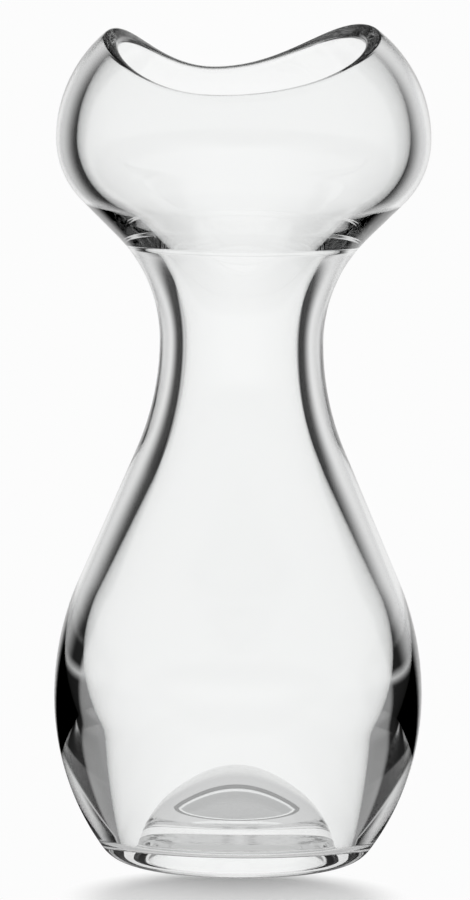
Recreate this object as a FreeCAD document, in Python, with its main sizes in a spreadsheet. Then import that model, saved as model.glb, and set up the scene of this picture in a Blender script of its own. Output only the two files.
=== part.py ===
import FreeCAD, Part
import math
import os

import Sketcher

# A hyacinth forcing vase: one piece of thick clear blown glass.
# The cup holds the bulb, the seat under the cup carries it, and the roots grow down through the neck
# into the chamber.  +Z is up, the origin is the middle of the foot, lengths are in millimetres.

os.makedirs("parts", exist_ok=True)
doc = FreeCAD.newDocument("vase")

# Driving sizes.  Levels are heights above the surface that the foot stands on, and a "curve" is the radius
# of one arc of the profile.
sizes = {
    # outside, from the foot up; the punt is the hollow pushed up into the underside, and the foot is
    # a flat ring round it
    "foot_diameter": 57.1,
    "foot_ring": 5.3,
    "punt_height": 4.0,
    "punt_edge_curve": 2.0,
    "heel_curve": 9.4,
    "belly_diameter": 98.6,
    "belly_level": 44.6,
    "waist_diameter": 43.7,
    "waist_level": 140.4,
    "cup_diameter": 100.0,
    "cup_level": 194.7,
    # inside: the floor is a mound over the punt, with a crown, a shoulder and a gutter round it
    "base_thickness": 18.0,
    "crown_curve": 50.0,
    "shoulder_curve": 12.0,
    "gutter_level": 8.0,
    "gutter_curve": 2.5,
    "gutter_inset": 0.1,
    "chamber_wall": 7.35,
    "chamber_level": 53.0,
    "chamber_under_curve": 46.0,
    "waist_wall": 7.1,
    "bore_neck_curve": 42.0,
    "seat_under_curve": 3.0,
    "seat_diameter": 51.6,
    "seat_lean": 17.3,
    "seat_edge_curve": 2.0,
    "cup_wall": 5.5,
    "inner_under_curve": 19.5,
    "rim_edge_curve": 1.6,
    "saw_overrun": 4.0,
    # shares: an S between two widths is two arcs, and each is this part of the S's swing, which is
    # what the two would add up to if they met with no straight run between them
    "belly_over_share": 0.437,
    "flare_share": 0.416,
    "neck_share": 0.604,
    "cup_under_share": 0.348,
    "chamber_over_share": 0.318,
    "bore_flare_share": 0.555,
    "dome_share": 0.74,
    # the rim, as parts of the dome's curve: a trough is sawn across the top from front to back, and
    # leaves a lobe on each side of it; the trough's lowest line lies a little to the left
    "trough_shift_share": 0.218,
    "trough_top_share": 0.9,
    "front_dip_share": 0.446,
    "front_left_share": 1.654,
    "front_right_share": 3.476,
    "back_dip_share": 0.389,
    "back_left_share": 0.54,
    "back_right_share": 0.94,
}

# Sizes that follow from those.
worked_out = {
    "foot_inset": "(belly_diameter - foot_diameter) / 2",
    "heel_drop": "belly_level - heel_curve",
    "belly_under_curve": "(foot_inset^2 + heel_drop^2 - heel_curve^2) / (2 * (foot_inset - heel_curve))",
    "punt_reach": "foot_diameter / 2 - foot_ring",
    "punt_curve": "(punt_reach^2 + punt_height^2) / (2 * punt_height) - punt_edge_curve",
    "belly_step": "(belly_diameter - waist_diameter) / 2",
    "belly_swing": "(belly_step^2 + (waist_level - belly_level)^2) / (2 * belly_step)",
    "belly_over_curve": "belly_over_share * belly_swing",
    "flare_curve": "flare_share * belly_swing",
    "neck_step": "(cup_diameter - waist_diameter) / 2",
    "neck_swing": "(neck_step^2 + (cup_level - waist_level)^2) / (2 * neck_step)",
    "neck_curve": "neck_share * neck_swing",
    "cup_under_curve": "cup_under_share * neck_swing",
    "cup_dome_curve": "dome_share * cup_diameter / 2",
    "mound_level": "punt_height + base_thickness",
    "gutter_reach": "foot_diameter / 2 - gutter_inset",
    "chamber_step": "belly_step - chamber_wall + waist_wall",
    "chamber_swing": "(chamber_step^2 + (waist_level - chamber_level)^2) / (2 * chamber_step)",
    "chamber_over_curve": "chamber_over_share * chamber_swing",
    "bore_flare_curve": "bore_flare_share * chamber_swing",
    "inner_dome_curve": "dome_share * (cup_diameter / 2 - cup_wall)",
    "trough_shift": "trough_shift_share * cup_dome_curve",
    "trough_top_level": "cup_level + trough_top_share * cup_dome_curve",
    "front_dip_level": "cup_level + front_dip_share * cup_dome_curve",
    "front_left_curve": "front_left_share * cup_dome_curve",
    "front_right_curve": "front_right_share * cup_dome_curve",
    "back_dip_level": "cup_level + back_dip_share * cup_dome_curve",
    "back_left_curve": "back_left_share * cup_dome_curve",
    "back_right_curve": "back_right_share * cup_dome_curve",
    "saw_reach": "cup_diameter / 2 + saw_overrun",
    "saw_top_level": "cup_level + cup_dome_curve + saw_overrun",
}

sheet = doc.addObject("Spreadsheet::Sheet", "sizes")
formulas = {name: f"={formula}" for name, formula in worked_out.items()}
for row, (name, value) in enumerate({**sizes, **formulas}.items(), start=1):
    sheet.set(f"A{row}", name)
    sheet.set(f"B{row}", str(value))
    sheet.setAlias(f"B{row}", name)
doc.recompute()


def size(name):
    return float(getattr(sheet, name))


def cell(name):
    return f"<<sizes>>.{name}"


def point(x, y):
    return FreeCAD.Vector(x, y, 0)


def on_circle(centre, radius, angle):
    return point(centre.x + radius * math.cos(angle), centre.y + radius * math.sin(angle))


def inner_tangent(bulge, bulge_radius, hollow, hollow_radius, upward):
    # Angle, on the bulging circle, of the line that runs between it and the hollow circle.
    gap = hollow - bulge
    lean = math.acos((bulge_radius + hollow_radius) / gap.Length)
    return math.atan2(gap.y, gap.x) + (-lean if upward else lean)


def outer_tangent(upper, upper_radius, lower, lower_radius):
    # Angle, on both circles, of the line that touches the two on the side away from the axis.
    gap = upper - lower
    return math.atan2(gap.y, gap.x) - math.acos((lower_radius - upper_radius) / gap.Length)


def circles_meet(first, first_radius, second, second_radius):
    # Where two circles cross, on the left of the way from the first centre to the second.
    gap = second - first
    along = (first_radius**2 - second_radius**2 + gap.Length**2) / (2 * gap.Length)
    aside = math.sqrt(first_radius**2 - along**2)
    way = gap / gap.Length
    return point(first.x + way.x * along - way.y * aside, first.y + way.y * along + way.x * aside)


def plane(body, role):
    return [feature for feature in body.Origin.OriginFeatures if feature.Role == role][0]


class Profile:
    """A closed chain of arcs and lines in the half plane beside the vase's axis."""

    def __init__(self, body, name):
        self.sketch = body.newObject("Sketcher::SketchObject", name)
        self.sketch.AttachmentSupport = (plane(body, "XZ_Plane"), [""])
        self.sketch.MapMode = "FlatFace"
        self.joints = []
        self.last = None

    def add(self, geometry, first, second, smooth):
        # first and second say which end of the piece the chain enters and leaves by.
        number = self.sketch.addGeometry(geometry, False)
        if self.last is not None:
            self.joints.append((self.last[0], self.last[1], number, first, smooth))
        self.last = (number, second)
        return number

    def line(self, start, end, smooth=False):
        return self.add(Part.LineSegment(start, end), 1, 2, smooth)

    def arc(self, centre, radius, start, end, smooth=True):
        # Arcs are stored anticlockwise, so a clockwise one is entered by its end.
        circle = Part.Circle(centre, FreeCAD.Vector(0, 0, 1), radius)
        if end > start:
            return self.add(Part.ArcOfCircle(circle, start, end), 1, 2, smooth)
        return self.add(Part.ArcOfCircle(circle, end, start), 2, 1, smooth)

    def close(self, first):
        # The first piece is the arc over the middle, which the chain enters by its end.
        number, end = self.last
        self.joints.append((number, end, first, 2, False))
        for one, one_end, two, two_end, smooth in self.joints:
            kind = "Tangent" if smooth else "Coincident"
            self.sketch.addConstraint(Sketcher.Constraint(kind, one, one_end, two, two_end))

    def bind(self, kind, places, value, expression):
        number = self.sketch.addConstraint(Sketcher.Constraint(kind, *places, value))
        self.sketch.setExpression(f"Constraints[{number}]", expression)

    def radius(self, arc, name):
        self.bind("Radius", [arc], size(name), cell(name))

    def on_axis(self, arc, name):
        # The arc starts level, on the axis, at this height.
        self.sketch.addConstraint(Sketcher.Constraint("PointOnObject", arc, 2, -2))
        self.sketch.addConstraint(Sketcher.Constraint("PointOnObject", arc, 3, -2))
        self.bind("DistanceY", [-1, 1, arc, 2], size(name), cell(name))

    def waypoint(self, arc, end, across, across_expression, level, level_expression):
        # The end of an arc stands at this place, and the arc is upright there.
        self.bind("DistanceX", [-1, 1, arc, end], across, across_expression)
        self.bind("DistanceY", [-1, 1, arc, end], level, level_expression)
        self.bind("DistanceY", [-1, 1, arc, 3], level, level_expression)


def outside_profile(body):
    belly = size("belly_diameter") / 2
    waist = size("waist_diameter") / 2
    cup = size("cup_diameter") / 2
    under = point(belly - size("belly_under_curve"), size("belly_level"))
    over = point(belly - size("belly_over_curve"), size("belly_level"))
    flare = point(waist + size("flare_curve"), size("waist_level"))
    neck = point(waist + size("neck_curve"), size("waist_level"))
    cup_under = point(cup - size("cup_under_curve"), size("cup_level"))
    dome = point(cup - size("cup_dome_curve"), size("cup_level"))
    punt_radius = size("punt_curve")
    edge_radius = size("punt_edge_curve")
    punt = point(0, size("punt_height") - punt_radius)
    reach = punt_radius + edge_radius
    edge = point(math.sqrt(reach**2 - (edge_radius - punt.y) ** 2), edge_radius)
    punt_turn = math.atan2(edge.y - punt.y, edge.x)
    heel_radius = size("heel_curve")
    reach = size("belly_under_curve") - heel_radius
    heel = point(under.x + math.sqrt(reach**2 - (under.y - heel_radius) ** 2), heel_radius)
    heel_turn = math.atan2(heel.y - under.y, heel.x - under.x)
    flare_turn = inner_tangent(over, size("belly_over_curve"), flare, size("flare_curve"), True)
    neck_turn = inner_tangent(cup_under, size("cup_under_curve"), neck, size("neck_curve"), False)
    half = math.pi / 2

    profile = Profile(body, "outside_profile")
    punt_arc = profile.arc(punt, punt_radius, half, punt_turn)
    edge_arc = profile.arc(edge, edge_radius, punt_turn - math.pi, -half)
    foot = profile.line(point(edge.x, 0), point(heel.x, 0), smooth=True)
    heel_arc = profile.arc(heel, heel_radius, -half, heel_turn)
    under_arc = profile.arc(under, size("belly_under_curve"), heel_turn, 0)
    over_arc = profile.arc(over, size("belly_over_curve"), 0, flare_turn)
    profile.line(
        on_circle(over, size("belly_over_curve"), flare_turn),
        on_circle(flare, size("flare_curve"), flare_turn + math.pi),
        smooth=True,
    )
    flare_arc = profile.arc(flare, size("flare_curve"), flare_turn + math.pi, math.pi)
    neck_arc = profile.arc(neck, size("neck_curve"), math.pi, neck_turn + math.pi)
    profile.line(
        on_circle(neck, size("neck_curve"), neck_turn + math.pi),
        on_circle(cup_under, size("cup_under_curve"), neck_turn),
        smooth=True,
    )
    cup_under_arc = profile.arc(cup_under, size("cup_under_curve"), neck_turn, 0)
    dome_arc = profile.arc(dome, size("cup_dome_curve"), 0, half)
    top = on_circle(dome, size("cup_dome_curve"), half)
    cap = profile.line(top, point(0, top.y), smooth=True)
    axis = profile.line(point(0, top.y), point(0, size("punt_height")))
    profile.close(punt_arc)

    sketch = profile.sketch
    profile.on_axis(punt_arc, "punt_height")
    sketch.addConstraint(Sketcher.Constraint("PointOnObject", foot, 1, -1))
    sketch.addConstraint(Sketcher.Constraint("PointOnObject", foot, 2, -1))
    sketch.addConstraint(Sketcher.Constraint("Horizontal", cap))
    sketch.addConstraint(Sketcher.Constraint("Vertical", axis))
    for arc, name in (
        (punt_arc, "punt_curve"),
        (edge_arc, "punt_edge_curve"),
        (heel_arc, "heel_curve"),
        (under_arc, "belly_under_curve"),
        (over_arc, "belly_over_curve"),
        (flare_arc, "flare_curve"),
        (neck_arc, "neck_curve"),
        (cup_under_arc, "cup_under_curve"),
        (dome_arc, "cup_dome_curve"),
    ):
        profile.radius(arc, name)
    for arc, end, diameter, level in (
        (over_arc, 1, "belly_diameter", "belly_level"),
        (neck_arc, 2, "waist_diameter", "waist_level"),
        (dome_arc, 1, "cup_diameter", "cup_level"),
    ):
        across = f"{cell(diameter)} / 2"
        profile.waypoint(arc, end, size(diameter) / 2, across, size(level), cell(level))
    return sketch


def inside_profile(body):
    chamber = size("belly_diameter") / 2 - size("chamber_wall")
    bore = size("waist_diameter") / 2 - size("waist_wall")
    cup = size("cup_diameter") / 2 - size("cup_wall")
    gutter_radius = size("gutter_curve")
    neck_radius = size("bore_neck_curve")
    bend_radius = size("seat_under_curve")
    edge_radius = size("seat_edge_curve")
    under = point(chamber - size("chamber_under_curve"), size("chamber_level"))
    over = point(chamber - size("chamber_over_curve"), size("chamber_level"))
    flare = point(bore + size("bore_flare_curve"), size("waist_level"))
    neck = point(bore + neck_radius, size("waist_level"))
    cup_under = point(cup - size("inner_under_curve"), size("cup_level"))
    dome = point(cup - size("inner_dome_curve"), size("cup_level"))
    half = math.pi / 2

    # The floor: a mound in the middle, and a gutter between it and the wall.
    crown = point(0, size("mound_level") - size("crown_curve"))
    gutter = point(size("gutter_reach"), size("gutter_level") + gutter_radius)
    shoulder_radius = size("shoulder_curve")
    reach = size("crown_curve") - shoulder_radius
    shoulder = circles_meet(crown, reach, gutter, shoulder_radius + gutter_radius)
    crown_turn = math.atan2(shoulder.y - crown.y, shoulder.x)
    mound_turn = math.atan2(gutter.y - shoulder.y, gutter.x - shoulder.x)
    wall_turn = outer_tangent(under, size("chamber_under_curve"), gutter, gutter_radius)
    flare_turn = inner_tangent(over, size("chamber_over_curve"), flare, size("bore_flare_curve"), True)

    # The seat: the neck bends nearly upright, then turns out over a rounded edge into the cup's floor.
    seat_turn = math.pi - math.radians(size("seat_lean"))
    bend_across = size("seat_diameter") / 2 + bend_radius * math.cos(seat_turn)
    reach = neck_radius + bend_radius
    bend = point(bend_across, neck.y + math.sqrt(reach**2 - (neck.x - bend_across) ** 2))
    seat = on_circle(bend, bend_radius, seat_turn - math.pi)
    edge = on_circle(seat, edge_radius, seat_turn - math.pi)
    neck_turn = math.atan2(bend.y - neck.y, bend.x - neck.x)
    slope_turn = inner_tangent(cup_under, size("inner_under_curve"), edge, edge_radius, False)

    profile = Profile(body, "inside_profile")
    crown_arc = profile.arc(crown, size("crown_curve"), half, crown_turn)
    shoulder_arc = profile.arc(shoulder, shoulder_radius, crown_turn, mound_turn)
    gutter_arc = profile.arc(gutter, gutter_radius, mound_turn - math.pi, wall_turn)
    profile.line(
        on_circle(gutter, gutter_radius, wall_turn),
        on_circle(under, size("chamber_under_curve"), wall_turn),
        smooth=True,
    )
    under_arc = profile.arc(under, size("chamber_under_curve"), wall_turn, 0)
    over_arc = profile.arc(over, size("chamber_over_curve"), 0, flare_turn)
    profile.line(
        on_circle(over, size("chamber_over_curve"), flare_turn),
        on_circle(flare, size("bore_flare_curve"), flare_turn + math.pi),
        smooth=True,
    )
    flare_arc = profile.arc(flare, size("bore_flare_curve"), flare_turn + math.pi, math.pi)
    neck_arc = profile.arc(neck, neck_radius, math.pi, neck_turn)
    bend_arc = profile.arc(bend, bend_radius, neck_turn - math.pi, seat_turn - math.pi)
    edge_arc = profile.arc(edge, edge_radius, seat_turn, slope_turn + math.pi)
    profile.line(
        on_circle(edge, edge_radius, slope_turn + math.pi),
        on_circle(cup_under, size("inner_under_curve"), slope_turn),
        smooth=True,
    )
    cup_under_arc = profile.arc(cup_under, size("inner_under_curve"), slope_turn, 0)
    dome_arc = profile.arc(dome, size("inner_dome_curve"), 0, half)
    top = on_circle(dome, size("inner_dome_curve"), half)
    cap = profile.line(top, point(0, top.y), smooth=True)
    axis = profile.line(point(0, top.y), point(0, size("mound_level")))
    profile.close(crown_arc)

    sketch = profile.sketch
    profile.on_axis(crown_arc, "mound_level")
    sketch.addConstraint(Sketcher.Constraint("Horizontal", cap))
    sketch.addConstraint(Sketcher.Constraint("Vertical", axis))
    height = f"{cell('gutter_level')} + {cell('gutter_curve')}"
    profile.bind("DistanceX", [-1, 1, gutter_arc, 3], gutter.x, cell("gutter_reach"))
    profile.bind("DistanceY", [-1, 1, gutter_arc, 3], gutter.y, height)
    profile.bind("DistanceX", [-1, 1, edge_arc, 2], seat.x, f"{cell('seat_diameter')} / 2")
    spread = f"({cell('seat_under_curve')} + {cell('seat_edge_curve')}) * cos({cell('seat_lean')})"
    profile.bind("DistanceX", [bend_arc, 3, edge_arc, 3], edge.x - bend.x, spread)
    for arc, name in (
        (crown_arc, "crown_curve"),
        (shoulder_arc, "shoulder_curve"),
        (gutter_arc, "gutter_curve"),
        (under_arc, "chamber_under_curve"),
        (over_arc, "chamber_over_curve"),
        (flare_arc, "bore_flare_curve"),
        (neck_arc, "bore_neck_curve"),
        (bend_arc, "seat_under_curve"),
        (edge_arc, "seat_edge_curve"),
        (cup_under_arc, "inner_under_curve"),
        (dome_arc, "inner_dome_curve"),
    ):
        profile.radius(arc, name)
    for arc, end, outer, wall, level in (
        (over_arc, 1, "belly_diameter", "chamber_wall", "chamber_level"),
        (neck_arc, 2, "waist_diameter", "waist_wall", "waist_level"),
        (dome_arc, 1, "cup_diameter", "cup_wall", "cup_level"),
    ):
        across = f"{cell(outer)} / 2 - {cell(wall)}"
        profile.waypoint(arc, end, size(outer) / 2 - size(wall), across, size(level), cell(level))
    return sketch


def saw_section(body, end, side):
    # One end of the saw that opens the rim.  Its underside is a trough of two arcs, one each side of the
    # lowest line, and a straight skin between the two ends makes the whole trough.
    low = point(-size("trough_shift"), size(f"{end}_dip_level"))
    top = size("trough_top_level")
    roof = size("saw_top_level")
    left_radius = size(f"{end}_left_curve")
    right_radius = size(f"{end}_right_curve")
    left_centre = point(low.x, low.y + left_radius)
    right_centre = point(low.x, low.y + right_radius)
    left_turn = math.pi - math.asin((top - left_centre.y) / left_radius)
    right_turn = math.asin((top - right_centre.y) / right_radius)
    left_end = on_circle(left_centre, left_radius, left_turn)
    right_end = on_circle(right_centre, right_radius, right_turn)
    half = math.pi / 2

    sketch = body.newObject("Sketcher::SketchObject", f"saw_{end}")
    sketch.AttachmentSupport = (plane(body, "XZ_Plane"), [""])
    sketch.MapMode = "FlatFace"
    sketch.setExpression("AttachmentOffset.Base.z", f"{side} * {cell('saw_reach')}")
    corners = [right_end, point(right_end.x, roof), point(left_end.x, roof), left_end]
    upward = FreeCAD.Vector(0, 0, 1)
    left_circle = Part.Circle(left_centre, upward, left_radius)
    right_circle = Part.Circle(right_centre, upward, right_radius)
    left = sketch.addGeometry(Part.ArcOfCircle(left_circle, left_turn, math.pi + half), False)
    right = sketch.addGeometry(Part.ArcOfCircle(right_circle, -half, right_turn), False)
    right_wall, ceiling, left_wall = (
        sketch.addGeometry(Part.LineSegment(one, two), False) for one, two in zip(corners, corners[1:])
    )
    chain = [left, right, right_wall, ceiling, left_wall]
    for one, two in zip(chain, chain[1:] + chain[:1]):
        sketch.addConstraint(Sketcher.Constraint("Coincident", one, 2, two, 1))
    sketch.addConstraint(Sketcher.Constraint("Vertical", right_wall))
    sketch.addConstraint(Sketcher.Constraint("Horizontal", ceiling))
    sketch.addConstraint(Sketcher.Constraint("Vertical", left_wall))

    aside = f"-{cell('trough_shift')}"
    for kind, places, value, expression in (
        ("Radius", [left], left_radius, cell(f"{end}_left_curve")),
        ("Radius", [right], right_radius, cell(f"{end}_right_curve")),
        ("DistanceX", [-1, 1, left, 3], low.x, aside),
        ("DistanceX", [-1, 1, right, 3], low.x, aside),
        ("DistanceX", [-1, 1, right, 1], low.x, aside),
        ("DistanceY", [-1, 1, right, 1], low.y, cell(f"{end}_dip_level")),
        ("DistanceY", [-1, 1, left, 1], top, cell("trough_top_level")),
        ("DistanceY", [-1, 1, right, 2], top, cell("trough_top_level")),
        ("DistanceY", [-1, 1, ceiling, 1], roof, cell("saw_top_level")),
    ):
        number = sketch.addConstraint(Sketcher.Constraint(kind, *places, value))
        sketch.setExpression(f"Constraints[{number}]", expression)
    return sketch


def vase_body():
    body = doc.addObject("PartDesign::Body", "vase_body")
    body.Label = "vase_body"

    blown = body.newObject("PartDesign::Revolution", "blown_shape")
    blown.Profile = outside_profile(body)
    blown.ReferenceAxis = (blown.Profile[0], ["V_Axis"])
    blown.Angle = 360
    doc.recompute()

    hollow = body.newObject("PartDesign::Groove", "hollow")
    hollow.Profile = inside_profile(body)
    hollow.ReferenceAxis = (hollow.Profile[0], ["V_Axis"])
    hollow.Angle = 360
    doc.recompute()

    saw = body.newObject("PartDesign::SubtractiveLoft", "rim_cut")
    saw.Profile = saw_section(body, "front", 1)
    saw.Sections = [saw_section(body, "back", -1)]
    saw.Ruled = True
    doc.recompute()

    # The saw leaves the rim as two faces that meet smoothly at its lowest line, and the fire rounds their
    # inner and outer edges, which each border only one of the two.
    borders = [
        edge
        for face in body.Shape.Faces
        if face.Surface.TypeId == "Part::GeomBSplineSurface"
        for edge in face.Edges
    ]
    rim_edges = [
        f"Edge{number}"
        for number, edge in enumerate(body.Shape.Edges, start=1)
        if sum(edge.isSame(border) for border in borders) == 1
    ]
    polish = body.newObject("PartDesign::Fillet", "fire_polish")
    polish.Base = (saw, rim_edges)
    polish.setExpression("Radius", cell("rim_edge_curve"))
    doc.recompute()
    return body


vase = vase_body()

for item in doc.Objects:
    if "Invalid" in item.State or "Error" in item.State:
        raise RuntimeError(f"{item.Label} failed: {item.State}")
shape = vase.Shape
if shape.isNull() or not shape.isValid() or len(shape.Solids) != 1:
    raise RuntimeError("vase_body isn't one valid solid")
shape.exportStep(f"parts/{vase.Label}.step")
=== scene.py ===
import math

import bpy
from mathutils import Matrix


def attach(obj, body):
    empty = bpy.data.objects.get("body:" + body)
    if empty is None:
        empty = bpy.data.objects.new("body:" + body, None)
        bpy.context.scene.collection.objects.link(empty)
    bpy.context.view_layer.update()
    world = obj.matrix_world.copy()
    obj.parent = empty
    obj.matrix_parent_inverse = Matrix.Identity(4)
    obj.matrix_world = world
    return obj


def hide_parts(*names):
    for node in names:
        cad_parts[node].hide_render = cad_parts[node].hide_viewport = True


# A hyacinth forcing vase of clear blown glass, on a pale floor in soft studio light.
# Lengths are in metres, in the same frame as the solid: +Z up, origin in the middle of the foot.

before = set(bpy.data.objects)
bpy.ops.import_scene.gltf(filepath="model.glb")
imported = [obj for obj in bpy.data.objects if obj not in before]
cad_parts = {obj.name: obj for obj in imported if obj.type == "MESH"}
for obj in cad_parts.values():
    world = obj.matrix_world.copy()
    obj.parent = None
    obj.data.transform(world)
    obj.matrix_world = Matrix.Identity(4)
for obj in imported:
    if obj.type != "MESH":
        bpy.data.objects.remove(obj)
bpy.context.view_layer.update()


# One output of a node, so that a sum in the script makes the Math nodes that work it out.
class Wire:
    def __init__(self, tree, socket):
        self.tree = tree
        self.socket = socket

    @staticmethod
    def node(tree, kind, inputs=None, output=0, **settings):
        made = tree.nodes.new(kind)
        for name, value in settings.items():
            setattr(made, name, value)
        for name, value in (inputs or {}).items():
            if isinstance(value, Wire):
                tree.links.new(value.socket, made.inputs[name])
            else:
                made.inputs[name].default_value = value
        return Wire(tree, made.outputs[output]) if made.outputs else made

    def math(self, operation, *others):
        return Wire.node(self.tree, "ShaderNodeMath", dict(enumerate((self, *others))), operation=operation)

    def __add__(self, other):
        return self.math("ADD", other)

    def __radd__(self, other):
        return self.math("ADD", other)

    def __sub__(self, other):
        return self.math("SUBTRACT", other)

    def __rsub__(self, other):
        return self.math("MULTIPLY", -1.0) + other

    def __mul__(self, other):
        return self.math("MULTIPLY", other)

    def __rmul__(self, other):
        return self.math("MULTIPLY", other)

    def __truediv__(self, other):
        return self.math("DIVIDE", other)

    def __abs__(self):
        return self.math("ABSOLUTE")

    def above(self, other):
        return self.math("GREATER_THAN", other)

    def most(self, other):
        return self.math("MAXIMUM", other)

    def mix(self, other, share):
        return self + (other - self) * share

    def cos(self):
        return self.math("COSINE")

    def sin(self):
        return self.math("SINE")

    def ramp(self, low, high, start=0.0, end=1.0):
        # Runs smoothly from start to end as the wire's own value goes from low to high.
        return Wire.node(
            self.tree,
            "ShaderNodeMapRange",
            {"Value": self, "From Min": low, "From Max": high, "To Min": start, "To Max": end},
            interpolation_type="SMOOTHSTEP",
        )


# The vase's profile.  Levels are heights above the floor, and a curve is the radius of one arc.  The
# dome, which the rim is sawn from, has a curve that is a share of the cup's radius.  The seat's lean
# and the widest turn from one row to the next are in degrees.
vase = {
    "footDiameter": 0.0571,
    "footRing": 0.0053,
    "puntHeight": 0.004,
    "puntEdgeCurve": 0.002,
    "heelCurve": 0.0094,
    "bellyDiameter": 0.0986,
    "bellyLevel": 0.0446,
    "bellyOverCurve": 0.0790,
    "flareCurve": 0.0752,
    "waistDiameter": 0.0437,
    "waistLevel": 0.1404,
    "neckCurve": 0.0401,
    "cupDiameter": 0.100,
    "cupLevel": 0.1947,
    "cupUnderCurve": 0.0231,
    "domeShare": 0.74,
    "baseThickness": 0.018,
    "crownCurve": 0.050,
    "shoulderCurve": 0.012,
    "gutterLevel": 0.008,
    "gutterCurve": 0.0025,
    "gutterInset": 0.0001,
    "chamberWall": 0.00735,
    "chamberLevel": 0.053,
    "chamberUnderCurve": 0.046,
    "chamberOverCurve": 0.049,
    "boreFlareCurve": 0.0855,
    "waistWall": 0.0071,
    "boreNeckCurve": 0.042,
    "seatDiameter": 0.0516,
    "seatUnderCurve": 0.003,
    "seatLean": 17.3,
    "seatEdgeCurve": 0.002,
    "cupWall": 0.0055,
    "innerUnderCurve": 0.0195,
    "rimEdgeCurve": 0.0016,
    "segments": 216,
    "longestStep": 0.0018,
    "widestTurn": 4.5,
    "fewestSteps": 4,
    "sameRow": 1e-6,
    "weldDistance": 2e-6,
    "domeRows": 24,
    "edgeRows": 8,
    "faceRows": 4,
}


def onCircle(centre, radius, angle):
    return centre[0] + radius * math.cos(angle), centre[1] + radius * math.sin(angle)


def innerTangent(bulge, bulgeRadius, hollow, hollowRadius, upward):
    # Angle, on the bulging circle, of the line that runs between it and the hollow circle.
    across, up = hollow[0] - bulge[0], hollow[1] - bulge[1]
    lean = math.acos((bulgeRadius + hollowRadius) / math.hypot(across, up))
    return math.atan2(up, across) + (-lean if upward else lean)


def circlesMeet(first, firstRadius, second, secondRadius):
    # Where two circles cross, on the left of the way from the first centre to the second.
    across, up = second[0] - first[0], second[1] - first[1]
    gap = math.hypot(across, up)
    along = (firstRadius**2 - secondRadius**2 + gap**2) / (2 * gap)
    sideways = math.sqrt(firstRadius**2 - along**2)
    meetAcross = first[0] + (across * along - up * sideways) / gap
    meetUp = first[1] + (up * along + across * sideways) / gap
    return meetAcross, meetUp


# What a row holds besides its place in the half plane beside the axis.  It tells how a row of the rim is
# found there: swing is its share of the way up the dome, lip its share of the way round the lip's edge,
# rounded says that it's on that edge, inner whether it belongs to the outer side (0) or the inner one (1),
# and rim that it's one of these rows at all.
rowValues = ("swing", "lip", "rounded", "inner", "rim")


# The profile as a chain of rows, from the axis under the foot, over the rim, to the axis in the cavity.
class Outline:
    def __init__(self, step, turn, fewest):
        self.rows = []
        self.step = step
        self.turn = math.radians(turn)
        self.fewest = fewest

    def add(self, across, up, swing=0.0, lip=0.0, rounded=0.0, inner=0.0, rim=0.0):
        self.rows.append((across, up, swing, lip, rounded, inner, rim))

    def line(self, across, up):
        lastAcross, lastUp = self.rows[-1][:2]
        steps = max(1, round(math.hypot(across - lastAcross, up - lastUp) / self.step))
        for number in range(1, steps + 1):
            share = number / steps
            self.add(lastAcross + (across - lastAcross) * share, lastUp + (up - lastUp) * share)

    def arc(self, centre, radius, start, end):
        if self.rows:
            self.line(*onCircle(centre, radius, start))
        else:
            self.add(*onCircle(centre, radius, start))
        steps = max(self.fewest, math.ceil(abs(end - start) * max(radius / self.step, 1 / self.turn)))
        for number in range(1, steps + 1):
            self.add(*onCircle(centre, radius, start + (end - start) * number / steps))

    def rim(self, outer, within, domeRows, edgeRows, faceRows):
        for number in range(1, domeRows + 1):
            self.add(*outer, swing=number / domeRows, rim=1.0)
        for number in range(1, edgeRows + 1):
            self.add(*outer, 1.0, number / edgeRows, 1.0, rim=1.0)
        for number in range(1, faceRows):
            self.add(*outer, 1.0, 1.0, 1.0, number / faceRows, rim=1.0)
        for number in range(edgeRows, -1, -1):
            self.add(*within, 1.0, number / edgeRows, 1.0, 1.0, rim=1.0)
        for number in range(domeRows - 1, -1, -1):
            self.add(*within, number / domeRows, inner=1.0, rim=1.0)

    def tidy(self, sameRow):
        # Drops rows that repeat the one before, and puts the two ends exactly on the axis.
        kept = self.rows[:1]
        for row in self.rows[1:]:
            if math.dist(row, kept[-1]) > sameRow:
                kept.append(row)
        kept[0] = (0.0, *kept[0][1:])
        kept[-1] = (0.0, *kept[-1][1:])
        return kept


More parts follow.
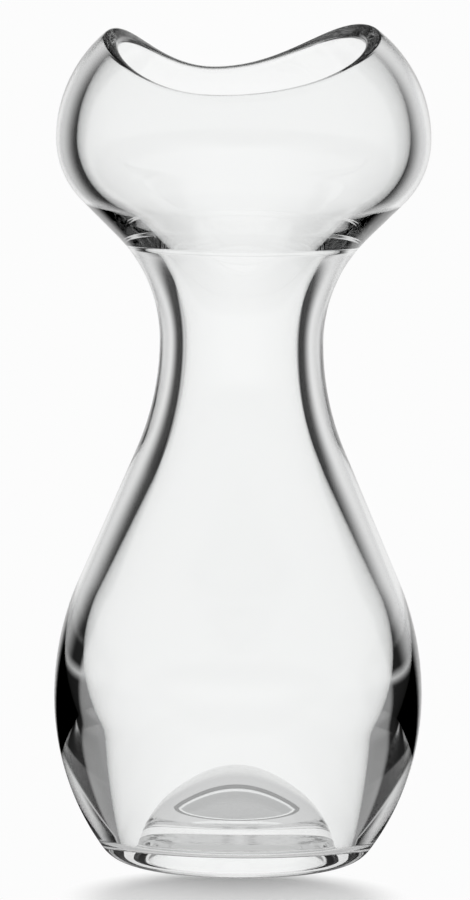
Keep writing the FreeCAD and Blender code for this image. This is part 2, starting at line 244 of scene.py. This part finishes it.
def vaseOutline(v):
    quarter = math.pi / 2
    belly, waist, cup = v["bellyDiameter"] / 2, v["waistDiameter"] / 2, v["cupDiameter"] / 2
    foot = v["footDiameter"] / 2

    # outside
    puntReach = foot - v["footRing"]
    puntCurve = (puntReach**2 + v["puntHeight"] ** 2) / (2 * v["puntHeight"]) - v["puntEdgeCurve"]
    punt = (0.0, v["puntHeight"] - puntCurve)
    puntEdge = (puntReach, v["puntEdgeCurve"])
    puntTurn = math.atan2(puntEdge[1] - punt[1], puntEdge[0])
    inset, drop = belly - foot, v["bellyLevel"] - v["heelCurve"]
    underCurve = (inset**2 + drop**2 - v["heelCurve"] ** 2) / (2 * (inset - v["heelCurve"]))
    heel = (foot, v["heelCurve"])
    under = (belly - underCurve, v["bellyLevel"])
    heelTurn = math.atan2(heel[1] - under[1], heel[0] - under[0])
    over = (belly - v["bellyOverCurve"], v["bellyLevel"])
    flare = (waist + v["flareCurve"], v["waistLevel"])
    flareTurn = innerTangent(over, v["bellyOverCurve"], flare, v["flareCurve"], True)
    neck = (waist + v["neckCurve"], v["waistLevel"])
    cupUnder = (cup - v["cupUnderCurve"], v["cupLevel"])
    neckTurn = innerTangent(cupUnder, v["cupUnderCurve"], neck, v["neckCurve"], False)

    # inside
    chamber, bore, cupIn = belly - v["chamberWall"], waist - v["waistWall"], cup - v["cupWall"]
    moundLevel = v["puntHeight"] + v["baseThickness"]
    crown = (0.0, moundLevel - v["crownCurve"])
    gutter = (foot - v["gutterInset"], v["gutterLevel"] + v["gutterCurve"])
    shoulder = circlesMeet(
        crown, v["crownCurve"] - v["shoulderCurve"], gutter, v["shoulderCurve"] + v["gutterCurve"]
    )
    crownTurn = math.atan2(shoulder[1] - crown[1], shoulder[0])
    moundTurn = math.atan2(gutter[1] - shoulder[1], gutter[0] - shoulder[0])
    innerUnder = (chamber - v["chamberUnderCurve"], v["chamberLevel"])
    gapAcross, gapUp = innerUnder[0] - gutter[0], innerUnder[1] - gutter[1]
    wallTurn = math.atan2(gapUp, gapAcross) - math.acos(
        (v["gutterCurve"] - v["chamberUnderCurve"]) / math.hypot(gapAcross, gapUp)
    )
    innerOver = (chamber - v["chamberOverCurve"], v["chamberLevel"])
    boreFlare = (bore + v["boreFlareCurve"], v["waistLevel"])
    boreTurn = innerTangent(innerOver, v["chamberOverCurve"], boreFlare, v["boreFlareCurve"], True)
    boreNeck = (bore + v["boreNeckCurve"], v["waistLevel"])
    seatTurn = math.pi - math.radians(v["seatLean"])
    bendAcross = v["seatDiameter"] / 2 + v["seatUnderCurve"] * math.cos(seatTurn)
    reach = v["boreNeckCurve"] + v["seatUnderCurve"]
    bend = (bendAcross, boreNeck[1] + math.sqrt(reach**2 - (boreNeck[0] - bendAcross) ** 2))
    edge = onCircle(bend, v["seatUnderCurve"] + v["seatEdgeCurve"], seatTurn - math.pi)
    seatNeckTurn = math.atan2(bend[1] - boreNeck[1], bend[0] - boreNeck[0])
    innerCupUnder = (cupIn - v["innerUnderCurve"], v["cupLevel"])
    slopeTurn = innerTangent(innerCupUnder, v["innerUnderCurve"], edge, v["seatEdgeCurve"], False)

    o = Outline(v["longestStep"], v["widestTurn"], v["fewestSteps"])
    o.arc(punt, puntCurve, quarter, puntTurn)
    o.arc(puntEdge, v["puntEdgeCurve"], puntTurn - math.pi, -quarter)
    o.arc(heel, v["heelCurve"], -quarter, heelTurn)
    o.arc(under, underCurve, heelTurn, 0)
    o.arc(over, v["bellyOverCurve"], 0, flareTurn)
    o.arc(flare, v["flareCurve"], flareTurn + math.pi, math.pi)
    o.arc(neck, v["neckCurve"], math.pi, neckTurn + math.pi)
    o.arc(cupUnder, v["cupUnderCurve"], neckTurn, 0)
    o.rim((cup, v["cupLevel"]), (cupIn, v["cupLevel"]), v["domeRows"], v["edgeRows"], v["faceRows"])
    o.arc(innerCupUnder, v["innerUnderCurve"], 0, slopeTurn)
    o.arc(edge, v["seatEdgeCurve"], slopeTurn + math.pi, seatTurn)
    o.arc(bend, v["seatUnderCurve"], seatTurn - math.pi, seatNeckTurn - math.pi)
    o.arc(boreNeck, v["boreNeckCurve"], seatNeckTurn, math.pi)
    o.arc(boreFlare, v["boreFlareCurve"], math.pi, boreTurn + math.pi)
    o.arc(innerOver, v["chamberOverCurve"], boreTurn, 0)
    o.arc(innerUnder, v["chamberUnderCurve"], 0, wallTurn)
    o.arc(gutter, v["gutterCurve"], wallTurn, moundTurn - math.pi)
    o.arc(shoulder, v["shoulderCurve"], moundTurn, crownTurn)
    o.arc(crown, v["crownCurve"], crownTurn, quarter)
    return o.tidy(v["sameRow"])


# The rim is where a trough, sawn across the top from front to back, meets the cup.  Its two ends are
# upright sections this far in front of and behind the middle, each of two arcs that meet at the lowest
# line, and straight lines join them.  Down to backRight, all but the reach are shares of the dome's curve.
# The rest is how the rim is searched for: between two angles up the dome, in radians, by halving.
trough = {
    "reach": 0.054,
    "shift": 0.218,
    "top": 0.9,
    "frontDip": 0.446,
    "frontLeft": 1.654,
    "frontRight": 3.476,
    "backDip": 0.389,
    "backLeft": 0.54,
    "backRight": 0.94,
    "lowestTurn": 0.1,
    "highestTurn": 1.3,
    "halvings": 22,
    "newtonSteps": 7,
    "slopeStep": 1e-5,
}


# The trough's level over one point of the floor, found by Newton's steps along the lines that join
# its front to its back.
class Trough:
    def __init__(self, t, domeCurve, cupLevel):
        self.reach = t["reach"]
        self.steps = t["newtonSteps"]
        self.low = -t["shift"] * domeCurve
        self.ends = {}
        for end in ("front", "back"):
            dip = t[end + "Dip"] * domeCurve
            for hand, side in ((-1, "Left"), (1, "Right")):
                radius = t[end + side] * domeCurve
                turn = math.acos(1 - (t["top"] * domeCurve - dip) / radius)
                self.ends[end, hand] = (cupLevel + dip, radius, turn)

    def level(self, across, away):
        back = (away + self.reach) / (2 * self.reach)
        hand = 1 if across > self.low else -1
        frontDip, frontRadius, frontTurn = self.ends["front", hand]
        backDip, backRadius, backTurn = self.ends["back", hand]
        frontPart, backPart = (1 - back) * frontRadius, back * backRadius
        wanted = abs(across - self.low)
        share = 0.5
        for step in range(self.steps):
            reached = frontPart * math.sin(share * frontTurn) + backPart * math.sin(share * backTurn)
            slope = frontPart * frontTurn * math.cos(share * frontTurn)
            slope += backPart * backTurn * math.cos(share * backTurn)
            share = min(1.0, max(0.0, share + (wanted - reached) / slope))
        front = frontDip + frontRadius * (1 - math.cos(share * frontTurn))
        return (1 - back) * front + back * (backDip + backRadius * (1 - math.cos(share * backTurn)))


def rimTurns(v, domeCentre, reach):
    # For each column: the angle up the dome at which the middle of the lip's round edge lies, on a
    # circle of this reach round the dome's centre, and the angle that the sawn face points at there.
    saw = Trough(trough, v["domeShare"] * v["cupDiameter"] / 2, v["cupLevel"])
    edge, small = v["rimEdgeCurve"], trough["slopeStep"]
    turns = []
    for column in range(v["segments"] + 1):
        around = 2 * math.pi * column / v["segments"]

        def level(out):
            return saw.level(out * math.cos(around), out * math.sin(around))

        low, high = trough["lowestTurn"], trough["highestTurn"]
        for step in range(trough["halvings"]):
            middle = (low + high) / 2
            out, up = onCircle((domeCentre, v["cupLevel"]), reach, middle)
            slope = (level(out + small) - level(out - small)) / (2 * small)
            face = math.atan2(1.0, -slope)
            onFace = onCircle((out, up), edge, face)
            if onFace[1] > level(onFace[0]):
                high = middle
            else:
                low = middle
        turns.append((middle, face))
    return turns


# Node group that turns a profile into the vase.  The profile's points are first the rows, from the foot
# over the rim and down to the cavity's floor, and then the columns, which tell how far up the two domes
# the sawn face meets them and which way it faces there.
def turningTree(weldDistance):
    tree = bpy.data.node_groups.new("turnedVase", "GeometryNodeTree")
    tree.interface.new_socket("Profile", in_out="INPUT", socket_type="NodeSocketGeometry")
    for name in ("Rows", "Segments"):
        tree.interface.new_socket(name, in_out="INPUT", socket_type="NodeSocketInt")
    for name in ("Cup Level", "Edge Curve", "Outer Centre", "Outer Curve", "Inner Centre", "Inner Curve"):
        tree.interface.new_socket(name, in_out="INPUT", socket_type="NodeSocketFloat")
    tree.interface.new_socket("Material", in_out="INPUT", socket_type="NodeSocketMaterial")
    tree.interface.new_socket("Vase", in_out="OUTPUT", socket_type="NodeSocketGeometry")
    source = tree.nodes.new("NodeGroupInput")
    given = {socket.name: Wire(tree, socket) for socket in source.outputs if socket.name}

    rows, segments = given["Rows"], given["Segments"]
    grid = Wire.node(tree, "GeometryNodeMeshGrid", {"Vertices X": segments + 1.0, "Vertices Y": rows})
    index = Wire.node(tree, "GeometryNodeInputIndex")
    column = (index / rows).math("FLOOR")
    row = index - column * rows
    angle = column * (2 * math.pi) / segments

    def sampled(value, at, dataType="FLOAT"):
        inputs = {"Geometry": given["Profile"], "Value": value, "Index": at}
        return Wire.node(tree, "GeometryNodeSampleIndex", inputs, data_type=dataType)

    def stored(name, at):
        value = Wire.node(tree, "GeometryNodeInputNamedAttribute", {"Name": name}, data_type="FLOAT")
        return sampled(value, at)

    place = sampled(Wire.node(tree, "GeometryNodeInputPosition"), row, "FLOAT_VECTOR")
    across = Wire.node(tree, "ShaderNodeSeparateXYZ", {"Vector": place}, "X")
    up = Wire.node(tree, "ShaderNodeSeparateXYZ", {"Vector": place}, "Z")
    swing, lip, rounded, inner, rim = (stored(name, row) for name in rowValues)

    def onSide(name, way):
        # Up the dome first, then round the lip's edge, which lies in the outer dome and round the inner.
        curve, edge = given[name + " Curve"], given["Edge Curve"]
        turn = stored(name.lower() + "Turn", rows + column)
        face = stored(name.lower() + "Face", rows + column)
        start = turn + (1 - way) * (math.pi / 2)
        upDome, roundEdge = turn * swing, start.mix(face, lip)
        reach = curve - edge * way
        out = (curve * upDome.cos()).mix(reach * turn.cos() + edge * roundEdge.cos(), rounded)
        rise = (curve * upDome.sin()).mix(reach * turn.sin() + edge * roundEdge.sin(), rounded)
        return given[name + " Centre"] + out, given["Cup Level"] + rise

    outerSide, innerSide = onSide("Outer", 1), onSide("Inner", -1)
    radius = across.mix(outerSide[0].mix(innerSide[0], inner), rim)
    height = up.mix(outerSide[1].mix(innerSide[1], inner), rim)
    target = Wire.node(
        tree, "ShaderNodeCombineXYZ", {"X": radius * angle.cos(), "Y": radius * angle.sin(), "Z": height}
    )
    turned = Wire.node(tree, "GeometryNodeSetPosition", {"Geometry": grid, "Position": target})
    closed = Wire.node(tree, "GeometryNodeMergeByDistance", {"Geometry": turned, "Distance": weldDistance})
    smooth = Wire.node(tree, "GeometryNodeSetShadeSmooth", {"Geometry": closed})
    real = Wire.node(tree, "GeometryNodeRealizeInstances", {"Geometry": smooth})
    dressed = Wire.node(tree, "GeometryNodeSetMaterial", {"Geometry": real, "Material": given["Material"]})
    Wire.node(tree, "NodeGroupOutput", {"Vase": dressed})
    return tree


def plainMesh(piece):
    # Replaces the piece's mesh by what its modifiers make of it.
    graph = bpy.context.evaluated_depsgraph_get()
    made = bpy.data.meshes.new_from_object(piece.evaluated_get(graph))
    piece.modifiers.clear()
    piece.data = made


glass = {
    "colour": (0.985, 0.99, 0.988, 1.0),
    "roughness": 0.0,
    "ior": 1.5,
    "waveScale": 26.0,
    "waveStrength": 0.04,
    "waveDepth": 0.0006,
    "waveDetail": 1.0,
}


def glassMaterial(g):
    material = bpy.data.materials.new("clearGlass")
    material.use_nodes = True
    tree = material.node_tree
    shader = tree.nodes["Principled BSDF"]
    shader.inputs["Roughness"].default_value = g["roughness"]
    shader.inputs["IOR"].default_value = g["ior"]
    shader.inputs["Transmission Weight"].default_value = 1.0
    shader.inputs["Base Color"].default_value = g["colour"]
    place = Wire.node(tree, "ShaderNodeTexCoord", output="Object")
    ripple = Wire.node(
        tree,
        "ShaderNodeTexNoise",
        {"Vector": place, "Scale": g["waveScale"], "Detail": g["waveDetail"]},
    )
    bump = Wire.node(
        tree,
        "ShaderNodeBump",
        {"Height": ripple, "Strength": g["waveStrength"], "Distance": g["waveDepth"]},
    )
    tree.links.new(bump.socket, shader.inputs["Normal"])
    return material


def buildVase(v):
    outerCurve = v["domeShare"] * v["cupDiameter"] / 2
    innerCurve = outerCurve - v["domeShare"] * v["cupWall"]
    outerCentre = v["cupDiameter"] / 2 - outerCurve
    innerCentre = v["cupDiameter"] / 2 - v["cupWall"] - innerCurve
    rows = vaseOutline(v)
    outer = rimTurns(v, outerCentre, outerCurve - v["rimEdgeCurve"])
    inner = rimTurns(v, innerCentre, innerCurve + v["rimEdgeCurve"])
    mesh = bpy.data.meshes.new("vaseProfile")
    noRows, noColumns = [0.0] * len(rows), [0.0] * len(outer)
    mesh.from_pydata([(row[0], 0.0, row[1]) for row in rows] + [(0.0, 0.0, 0.0)] * len(outer), [], [])
    stored = {}
    for place, name in enumerate(rowValues, start=2):
        stored[name] = [row[place] for row in rows] + noColumns
    for side, turns in (("outer", outer), ("inner", inner)):
        stored[side + "Turn"] = noRows + [turn for turn, face in turns]
        stored[side + "Face"] = noRows + [face for turn, face in turns]
    for name, values in stored.items():
        mesh.attributes.new(name, "FLOAT", "POINT").data.foreach_set("value", values)
    piece = bpy.data.objects.new("glassVase", mesh)
    bpy.context.scene.collection.objects.link(piece)

    modifier = piece.modifiers.new("turned", "NODES")
    modifier.node_group = turningTree(v["weldDistance"])
    names = {item.name: item.identifier for item in modifier.node_group.interface.items_tree}
    settings = {
        "Rows": len(rows),
        "Segments": v["segments"],
        "Cup Level": v["cupLevel"],
        "Edge Curve": v["rimEdgeCurve"],
        "Outer Centre": outerCentre,
        "Outer Curve": outerCurve,
        "Inner Centre": innerCentre,
        "Inner Curve": innerCurve,
        "Material": glassMaterial(glass),
    }
    for name, value in settings.items():
        modifier[names[name]] = value
    plainMesh(piece)
    print("vase:", len(rows), "rows,", len(piece.data.polygons), "faces")
    return piece


# What the glass shows of the room.  Angles are in degrees and measured from straight behind the vase or
# from the horizon, distances from the vase's axis.  A level is how bright something is, and a darkness
# is the part of it that is taken away.
studio = {
    "paper": 0.974,
    # light on the floor, from behind the vase round to ahead of it
    "ambientBehind": 1.40,
    "ambientAhead": 0.20,
    "ambientStart": 60.0,
    "ambientEnd": 140.0,
    # what a ray that was mirrored in the wall meets, between the cards and beside them
    "roomTurn": 3.0,
    "behindLevel": 0.88,
    "besideLevel": 0.62,
    "cardStart": 18.0,
    "cardFull": 47.0,
    "cardEdge": 57.0,
    "cardEnd": 65.0,
    "cardDarkness": 0.98,
    # what a ray that was mirrored on the outside meets
    "directLevel": 0.85,
    "directStart": 22.0,
    "directEnd": 34.0,
    "frontLevel": 0.85,
    "frontStart": 110.0,
    "frontEnd": 170.0,
    "topStart": 2.0,
    "topFull": 10.0,
    "topDarkness": 0.92,
    # what a ray that came through the hollow meets
    "roofStart": 6.0,
    "roofFull": 12.0,
    "roofEdge": 34.0,
    "roofEnd": 44.0,
    "roofDarkness": 0.45,
    "sideDarkness": 0.12,
    "strayDarkness": 0.75,
    "baseDarkness": 0.30,
    # how often a ray of each kind has at least passed a side of the glass or been mirrored, less a half
    "wallSides": 0.5,
    "hollowSides": 3.5,
    "anyMirrors": 0.5,
    "strayMirrors": 1.5,
    "baseMirrors": 3.5,
    "wallMirrors": 5.5,
    # dark ring on the floor, and where the cards begin on it
    "ringStart": 0.050,
    "ringFull": 0.065,
    "ringEdge": 0.14,
    "ringEnd": 0.19,
    "ringBeside": 0.5,
    "floorCardStart": 0.14,
    "floorCardFull": 0.22,
    # the floor, which turns to paper away from the shade and, in the glass, away from the foot
    "floorHalf": 4.0,
    "floorColour": 0.85,
    "floorLift": 0.15,
    "shadeAhead": 0.060,
    "whiteStart": 0.030,
    "whiteFull": 0.047,
    "underShare": 0.75,
    "glassStart": 0.030,
    "glassFull": 0.060,
    # most bounces of a light path: in all, mirrored and let through
    "bounces": 48,
    "mirroredBounces": 32,
    "transmittedBounces": 32,
}

halfTurn = 180.0  # degrees


def aside(across, away):
    # Angle from the room's middle line, which runs nearly straight back from the vase, either way round.
    turn = across.math("ARCTAN2", away) * (halfTurn / math.pi) - studio["roomTurn"]
    return halfTurn - abs(halfTurn - abs(turn))


def darkCards(side):
    s = studio
    return side.ramp(s["cardStart"], s["cardFull"]) * side.ramp(s["cardEdge"], s["cardEnd"], 1.0, 0.0)


def seenLight(tree, side, turnedDarkness, hollowDarkness, top):
    # Light that a ray meets.  One that was mirrored in the wall meets the cards, or nothing where that was
    # too often.  One that was mirrored on the outside meets a dark room with light behind and ahead, and one
    # that came through the hollow the softer darkness, or that of a ray gone astray.  For any other there's
    # white paper.
    s = studio
    glassSides = Wire.node(tree, "ShaderNodeLightPath", output="Transmission Depth")
    mirrors = Wire.node(tree, "ShaderNodeLightPath", output="Glossy Depth")
    hollow, within = glassSides.above(s["hollowSides"]), glassSides.above(s["wallSides"])
    turned = mirrors.above(s["anyMirrors"])
    mirrored = side.ramp(s["cardEdge"], s["cardEnd"], s["behindLevel"], s["besideLevel"])
    mirrored = mirrored * (1.0 - turnedDarkness) * (1.0 - mirrors.above(s["wallMirrors"]))
    direct = side.ramp(s["directStart"], s["directEnd"], s["directLevel"], 0.0)
    direct = direct + side.ramp(s["frontStart"], s["frontEnd"], 0.0, s["frontLevel"])
    stray, base = mirrors.above(s["strayMirrors"]), mirrors.above(s["baseMirrors"])
    lost = (stray * s["strayDarkness"]).mix(s["baseDarkness"], base)
    white = 1.0 - hollow * lost.most(hollowDarkness)
    return white.mix((direct * (1.0 - top)).mix(mirrored, within), turned * (1.0 - hollow)) * s["paper"]


def floorMaterial(s):
    material = bpy.data.materials.new("paleFloor")
    material.use_nodes = True
    tree = material.node_tree
    tree.nodes.clear()
    place = Wire.node(tree, "ShaderNodeTexCoord", output="Object")
    x = Wire.node(tree, "ShaderNodeSeparateXYZ", {"Vector": place}, "X")
    y = Wire.node(tree, "ShaderNodeSeparateXYZ", {"Vector": place}, "Y")
    side, distance = aside(x, y), (x * x + y * y).math("SQRT")
    ring = distance.ramp(s["ringStart"], s["ringFull"])
    ring = ring * distance.ramp(s["ringEdge"], s["ringEnd"], 1.0, 0.0)
    ring = ring * side.ramp(s["cardEdge"], s["cardEnd"], 1.0, s["ringBeside"])
    card = darkCards(side) * distance.ramp(s["floorCardStart"], s["floorCardFull"])
    seen = seenLight(tree, side, ring.most(card) * s["cardDarkness"], 0.0, 0.0)
    shade = s["floorColour"]
    lit = Wire.node(tree, "ShaderNodeBsdfDiffuse", {"Color": (shade, shade, shade, 1.0)})
    lift = Wire.node(tree, "ShaderNodeEmission", {"Strength": s["floorLift"]})
    shaded = Wire.node(tree, "ShaderNodeAddShader", {0: lit, 1: lift})
    white = Wire.node(tree, "ShaderNodeEmission", {"Color": seen})
    camera, transmitted, glossy = (
        Wire.node(tree, "ShaderNodeLightPath", output=name)
        for name in ("Is Camera Ray", "Is Transmission Ray", "Is Glossy Ray")
    )
    share = transmitted.most(glossy) * distance.ramp(s["glassStart"], s["glassFull"], s["underShare"])
    ahead = y + s["shadeAhead"]
    fromShade = (x * x + ahead * ahead).math("SQRT")
    share = share.most(camera * fromShade.ramp(s["whiteStart"], s["whiteFull"]))
    surface = Wire.node(tree, "ShaderNodeMixShader", {0: share, 1: shaded, 2: white})
    Wire.node(tree, "ShaderNodeOutputMaterial", {"Surface": surface})
    return material


def buildFloor(s):
    mesh = bpy.data.meshes.new("floor")
    half = s["floorHalf"]
    corners = [(-half, -half, 0), (half, -half, 0), (half, half, 0), (-half, half, 0)]
    mesh.from_pydata(corners, [], [(0, 1, 2, 3)])
    mesh.materials.append(floorMaterial(s))
    floor = bpy.data.objects.new("floor", mesh)
    bpy.context.scene.collection.objects.link(floor)
    return floor


def buildWorld(s):
    world = bpy.data.worlds.new("studio")
    world.use_nodes = True
    tree = world.node_tree
    tree.nodes.clear()
    direction = Wire.node(tree, "ShaderNodeTexCoord", output="Generated")
    x, y, z = (
        Wire.node(tree, "ShaderNodeSeparateXYZ", {"Vector": direction}, axis) for axis in ("X", "Y", "Z")
    )
    side, height = aside(x, y), z.math("ARCSINE") * (halfTurn / math.pi)
    top = height.ramp(s["topStart"], s["topFull"], 0.0, s["topDarkness"])
    roof = height.ramp(s["roofStart"], s["roofFull"]) * height.ramp(s["roofEdge"], s["roofEnd"], 1.0, 0.0)
    softer = (roof * s["roofDarkness"]).most(darkCards(side) * s["sideDarkness"])
    seen = seenLight(tree, side, darkCards(side) * s["cardDarkness"], softer, top)
    diffuse = Wire.node(tree, "ShaderNodeLightPath", output="Is Diffuse Ray")
    ambient = side.ramp(s["ambientStart"], s["ambientEnd"], s["ambientBehind"], s["ambientAhead"])
    light = Wire.node(tree, "ShaderNodeBackground", {"Color": seen.mix(ambient, diffuse)})
    Wire.node(tree, "ShaderNodeOutputWorld", {"Surface": light})
    bpy.context.scene.world = world


# The photograph's viewpoint: a long lens about three metres away, looking slightly down.
view = {
    "distance": 3.0,
    "height": 0.530,
    "aimHeight": 0.112,
    "roll": 0.6,
    "frameWidth": 470,
    "frameHeight": 900,
    "pixelsPerRadian": 11330,
    "centreX": 240.5,
    "centreY": 446.4,
    "sensor": 24.0,
    "clipEnd": 50.0,
}


def buildCamera(c):
    data = bpy.data.cameras.new("photoView")
    camera = bpy.data.objects.new("photoView", data)
    bpy.context.scene.collection.objects.link(camera)
    camera.location = (0.0, -c["distance"], c["height"])
    pitch = math.atan2(c["height"] - c["aimHeight"], c["distance"])
    tilt = Matrix.Rotation(math.pi / 2 - pitch, 3, "X")
    roll = Matrix.Rotation(math.radians(c["roll"]), 3, "Z")
    camera.rotation_euler = (tilt @ roll).to_euler()
    data.sensor_fit = "VERTICAL"
    data.sensor_height = c["sensor"]
    data.lens = c["pixelsPerRadian"] * c["sensor"] / c["frameHeight"]
    data.shift_x = (c["frameWidth"] / 2 - c["centreX"]) / c["frameHeight"]
    data.shift_y = (c["centreY"] - c["frameHeight"] / 2) / c["frameHeight"]
    data.clip_end = c["clipEnd"]
    bpy.context.scene.camera = camera


buildCamera(view)
glassVase = buildVase(vase)
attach(glassVase, "root")
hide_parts("vase_body")
print("vase placed")

buildFloor(studio)
buildWorld(studio)
print("studio built")

# Light is turned many times in the thick base before it leaves, so its paths may be long.
bpy.context.scene.cycles.max_bounces = studio["bounces"]
bpy.context.scene.cycles.glossy_bounces = studio["mirroredBounces"]
bpy.context.scene.cycles.transmission_bounces = studio["transmittedBounces"]
bpy.context.scene.view_settings.view_transform = "Standard"
